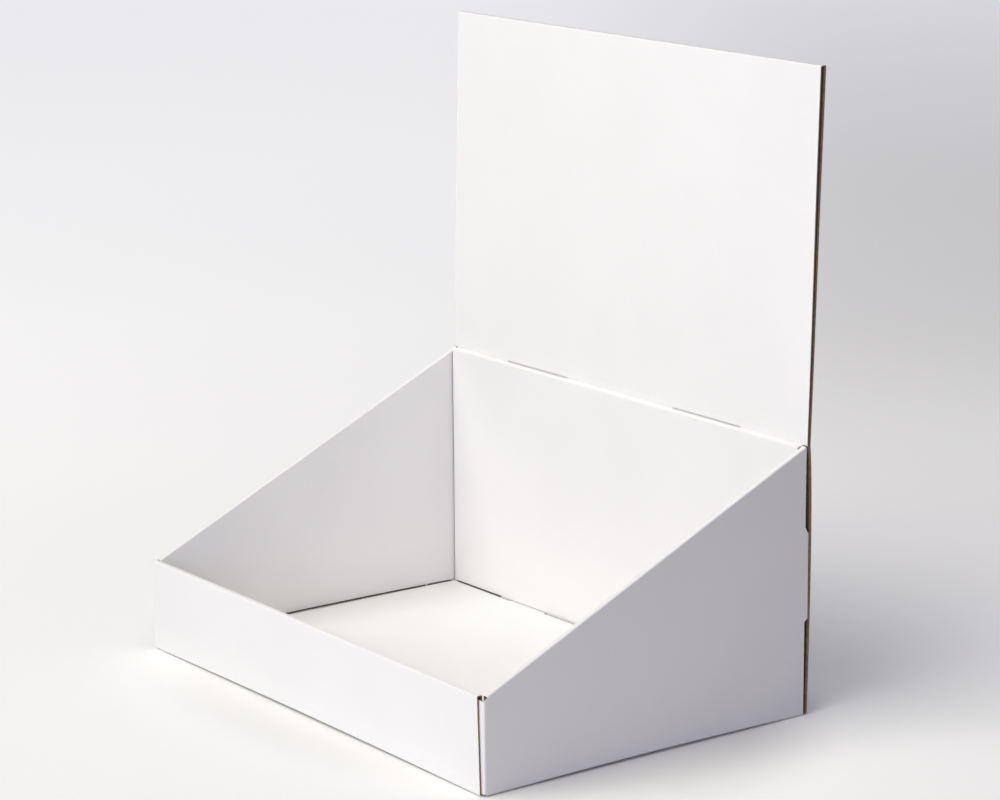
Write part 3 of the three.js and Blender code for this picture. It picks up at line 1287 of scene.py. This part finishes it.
@dataclass(frozen=True)
class StudioPaper:
    """Pale seamless paper that takes the shadows, with painted light that brightens it with distance, more so
    at the left, and painted shade near the carton's foot.
    """

    name: str = "studio_paper"
    tone: tuple[float, float, float] = (0.85, 0.85, 0.845)
    away: tuple[float, float] = (-0.8054, 0.5928)
    viewer: float = 1.685
    near: float = -0.4
    far: float = 3.6
    # painted light: camera-only glow levels by distance at the left and right of the view, standing in for
    # the lamps' fall-off
    painted_light_left: tuple[tuple[float, float], ...] = (
        (-0.2, 0.12), (0.1, 0.15), (0.45, 0.28), (0.93, 0.37), (1.74, 0.50), (3.1, 0.64),
    )
    painted_light_right: tuple[tuple[float, float], ...] = (
        (-0.2, 0.19), (0.2, 0.27), (0.45, 0.23), (0.8, 0.155), (1.26, 0.18), (2.0, 0.30), (3.06, 0.50),
    )
    side_fade: tuple[float, float] = (-0.02, 0.12)
    # painted shade: the glow fades out around the carton's foot, so the floor darkens there as in a contact
    # shadow
    contact_shade_size: tuple[float, float] = (0.15, 0.10)
    contact_shade_fade: tuple[float, float] = (1.15, 1.6)

    def make(self) -> bpy.types.Material:
        """Make the material: matt paper, with painted light that only the camera sees: a glow that rises with
        distance and towards the left, cut away near the carton's foot as painted shade.

        Returns:
            The finished material.
        """
        nodes = Shader(self.name)
        nodes.colour(nodes.plain(self.tone))
        nodes.shader.inputs["Roughness"].default_value = 0.9
        nodes.shader.inputs["Specular IOR Level"].default_value = 0.1
        depth = nodes.dot(nodes.place, (*self.away, 0.0))
        across = nodes.dot(nodes.place, (self.away[1], -self.away[0], 0.0))
        bearing = nodes.math("DIVIDE", across, nodes.math("ADD", depth, self.viewer))
        reach = nodes.fade(depth, self.near, self.far, "LINEAR")
        left, right = (nodes.profile(reach, self._stops(glow)) for glow in (self.painted_light_left, self.painted_light_right))
        share = nodes.fade(bearing, *self.side_fade)
        glow = nodes.math("MULTIPLY_ADD", nodes.math("SUBTRACT", right, left), share, left)
        inverse = tuple(1 / size for size in self.contact_shade_size)
        foot = nodes.length(nodes.times(nodes.place, (*inverse, 0.0)))
        seen = nodes.tree.nodes.new("ShaderNodeLightPath").outputs["Is Camera Ray"]
        # painted light and shade: the glow, cut near the carton's foot, reaches the camera only
        glow = nodes.math("MULTIPLY", nodes.math("MULTIPLY", glow, nodes.fade(foot, *self.contact_shade_fade)), seen)
        nodes.tree.links.new(glow, nodes.shader.inputs["Emission Strength"])
        nodes.shader.inputs["Emission Color"].default_value = (1.0, 1.0, 1.0, 1.0)
        return nodes.material

    def _stops(self, glow: tuple[tuple[float, float], ...]) -> list[tuple[float, tuple[float, float, float]]]:
        """Turn distances into places along a ramp.

        Args:
            glow: Distances and levels.

        Returns:
            The ramp's stops.
        """
        return [((d - self.near) / (self.far - self.near), (v, v, v)) for d, v in glow]


@dataclass
class Studio:
    """Pale floor, soft lights and the camera."""

    focal: float = 121.48
    camera_place: tuple[float, float, float] = (1.36698, -0.98522, 0.54249)
    azimuth: float = 53.647
    elevation: float = 13.101
    roll: float = -0.419
    sensor: float = 36.0
    sight: float = 100.0
    floor_reach: float = 12.0
    paper: StudioPaper = StudioPaper()
    lights: tuple[SoftLight, ...] = (
        SoftLight("overhead_box", 5, 60, 2.0, 35.9, (1.0, 0.943, 0.841)),
        SoftLight("right_fill", -25, 12, 1.0, 14.9, (0.797, 0.774, 1.0)),
        SoftLight("left_key", 50, 60, 1.0, 7.3, (1.0, 1.0, 1.0)),
        SoftLight("front_box", 0, 35, 1.0, 8.7, (0.905, 1.0, 0.754)),
    )
    sky: float = 0.192
    sky_tone: tuple[float, float, float] = (0.754, 0.754, 1.0)
    backdrop: tuple[float, float, float] = (0.78, 0.78, 0.775)

    def build(self) -> None:
        """Set the scene."""
        self._camera()
        self._floor()
        for light in self.lights:
            light.build()
        self._sky()
        bpy.context.scene.view_settings.view_transform = "Standard"

    def _camera(self) -> None:
        """Place the camera at the photograph's viewing angle."""
        data = bpy.data.cameras.new("camera")
        data.lens = self.focal
        data.sensor_width = self.sensor
        data.clip_end = self.sight
        camera = bpy.data.objects.new("camera", data)
        bpy.context.scene.collection.objects.link(camera)
        a, e = math.radians(self.azimuth), math.radians(self.elevation)
        back = Vector((math.sin(a) * math.cos(e), -math.cos(a) * math.cos(e), math.sin(e)))
        aim = back.to_track_quat("Z", "Y").to_matrix().to_4x4()
        roll = Matrix.Rotation(math.radians(self.roll), 4, "Z")
        camera.matrix_world = Matrix.Translation(Vector(self.camera_place)) @ aim @ roll
        bpy.context.scene.camera = camera

    def _floor(self) -> None:
        """Lay a wide pale floor that takes the shadow."""
        mesh = bmesh.new()
        bmesh.ops.create_grid(mesh, x_segments=4, y_segments=4, size=self.floor_reach)
        data = bpy.data.meshes.new("studio_floor")
        mesh.to_mesh(data)
        mesh.free()
        data.materials.append(self.paper.make())
        floor = bpy.data.objects.new("studio_floor", data)
        bpy.context.scene.collection.objects.link(floor)

    def _sky(self) -> None:
        """Fill the shadows from all round, behind a pale backdrop for the camera."""
        world = bpy.data.worlds.new("studio")
        bpy.context.scene.world = world
        world.use_nodes = True
        tree = world.node_tree
        fill = tree.nodes["Background"]
        fill.inputs["Color"].default_value = (*self.sky_tone, 1.0)
        fill.inputs["Strength"].default_value = self.sky
        seen = tree.nodes.new("ShaderNodeBackground")
        seen.inputs["Color"].default_value = (*self.backdrop, 1.0)
        mix = tree.nodes.new("ShaderNodeMixShader")
        path = tree.nodes.new("ShaderNodeLightPath")
        tree.links.new(path.outputs["Is Camera Ray"], mix.inputs["Fac"])
        tree.links.new(fill.outputs["Background"], mix.inputs[1])
        tree.links.new(seen.outputs["Background"], mix.inputs[2])
        tree.links.new(mix.outputs["Shader"], tree.nodes["World Output"].inputs["Surface"])


def main() -> None:
    """Build the carton and its studio."""
    logging.basicConfig(level=logging.INFO)
    sizes = CartonSizes.from_frame()
    piece = Carton(sizes).build()
    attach(piece, BODY)
    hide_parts(NODE)
    LOG.info("%s: %d faces", piece.name, len(piece.data.polygons))
    Studio().build()


if __name__ == "__main__":
    main()
